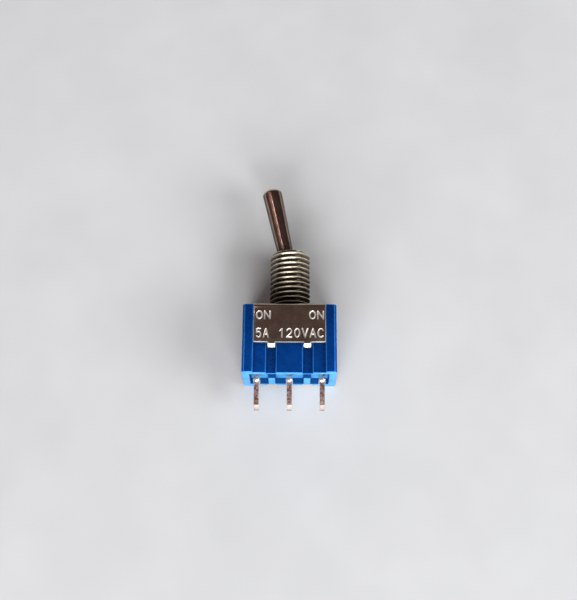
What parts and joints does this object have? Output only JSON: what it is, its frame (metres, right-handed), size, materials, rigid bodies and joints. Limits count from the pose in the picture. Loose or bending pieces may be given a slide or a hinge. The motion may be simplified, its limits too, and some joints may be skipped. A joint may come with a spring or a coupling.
{
  "type": "toggle switch",
  "caption": "Miniature panel toggle switch with a threaded bushing, a tapered lever, a blue case in a folded metal frame and a row of solder terminals.",
  "frame": {"origin": "on the bushing's axis, in the panel seat, which is the outer face of the mounting frame", "axes": "+X along the row of terminals, +Y along the bushing towards the lever's tip, +Z out of the front wide face; the switch lies on its rear wide face"},
  "size_m": [0.0132, 0.0339, 0.0078],
  "materials": {
    "blue_plastic": "moulded, satin to semi-gloss",
    "plated_sheet": "nickel plated sheet steel",
    "plated_brass": "nickel plated, turned",
    "polished_nickel": "nickel plated, polished",
    "spring_steel": "bright drawn wire",
    "nylon": "moulded",
    "contact_copper": "stamped copper alloy",
    "contact_silver": "silver alloy",
    "tinned_brass": "tin plated, stamped"
  },
  "bodies": {
    "housing": {"case": "blue_plastic", "mounting_frame": "plated_sheet", "bushing": "plated_brass", "fixed_contact_left": "contact_silver", "fixed_contact_right": "contact_silver", "terminal_left": "tinned_brass", "terminal_centre": "tinned_brass", "terminal_right": "tinned_brass"},
    "lever": {"lever": "polished_nickel", "cross_pin": "spring_steel", "spring": "spring_steel"},
    "plunger": {"plunger": "nylon"},
    "rocker": {"rocker": "contact_copper", "moving_contact_left": "contact_silver", "moving_contact_right": "contact_silver"}
  },
  "joints": [
    {"name": "lever_swing", "type": "hinge", "parent": "housing", "child": "lever", "pos_m": [0, 0.0058, 0], "axis": [0, 0, -1], "range_deg": [0, 24.2]},
    {"name": "plunger_slide", "type": "slide", "parent": "lever", "child": "plunger", "axis": [0.2096, -0.9778, 0], "range_m": [-0.0004, 0], "stiffness_N_per_m": 100, "deforming": ["spring"]},
    {"name": "rocker_tilt", "type": "hinge", "parent": "housing", "child": "rocker", "pos_m": [0, -0.00703, 0], "axis": [0, 0, 1], "range_deg": [0, 12]}
  ],
  "couplings": [
    {"joint": "rocker_tilt", "follows": "lever_swing", "ratio": 0.49}
  ]
}
